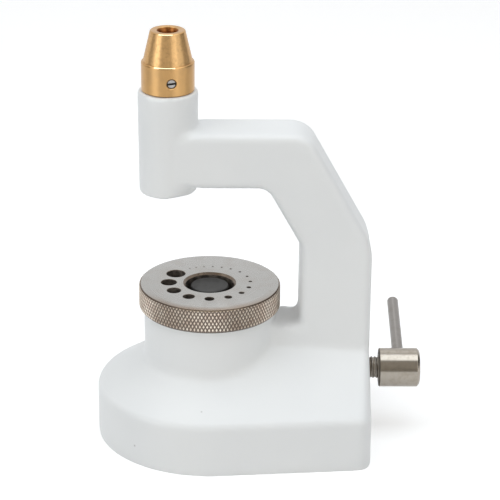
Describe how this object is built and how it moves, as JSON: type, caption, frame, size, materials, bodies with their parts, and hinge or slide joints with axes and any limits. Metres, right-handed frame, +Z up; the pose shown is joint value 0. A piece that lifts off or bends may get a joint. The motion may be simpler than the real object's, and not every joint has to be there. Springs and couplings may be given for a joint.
{
  "type": "staking tool",
  "caption": "Bench staking tool with a white cast frame, brass punch guide and knurled turning die plate locked from the rear by a lever knob.",
  "frame": {"origin": "on the underside of the base, on the axis that the die plate turns about", "axes": "+Z up, +X to the rear of the frame, towards the clamp knob; the punch axis stands at -X"},
  "size_m": [0.1149, 0.0796, 0.1486],
  "materials": {
    "frame": "satin",
    "bush": "satin",
    "plate": "satin",
    "spindle": "satin",
    "fastener": "satin",
    "knob": "satin"
  },
  "bodies": {
    "frame": {"frame_casting": "frame", "guide_bush": "bush", "friction_screw": "fastener", "friction_plug": "bush", "die_spindle": "spindle", "spindle_washer": "spindle"},
    "plate": {"die_plate": "plate"},
    "plunger": {"clamp_plunger": "spindle"},
    "clamp": {"clamp_screw": "fastener", "clamp_knob": "knob", "lever_rod": "knob"}
  },
  "joints": [
    {"name": "die_plate_spin", "type": "hinge", "parent": "frame", "child": "plate", "pos_m": [0, 0, 0.0472], "axis": [0, 0, 1], "continuous": true},
    {"name": "clamp_travel", "type": "slide", "parent": "frame", "child": "plunger", "axis": [1, 0, 0], "range_m": [0, 0.000625]},
    {"name": "clamp_turn", "type": "hinge", "parent": "plunger", "child": "clamp", "pos_m": [0.06, 0, 0.0232], "axis": [1, 0, 0], "range_deg": [0, 180]}
  ],
  "couplings": [
    {"joint": "clamp_turn", "follows": "clamp_travel", "rad_per_m": 5026.5}
  ]
}
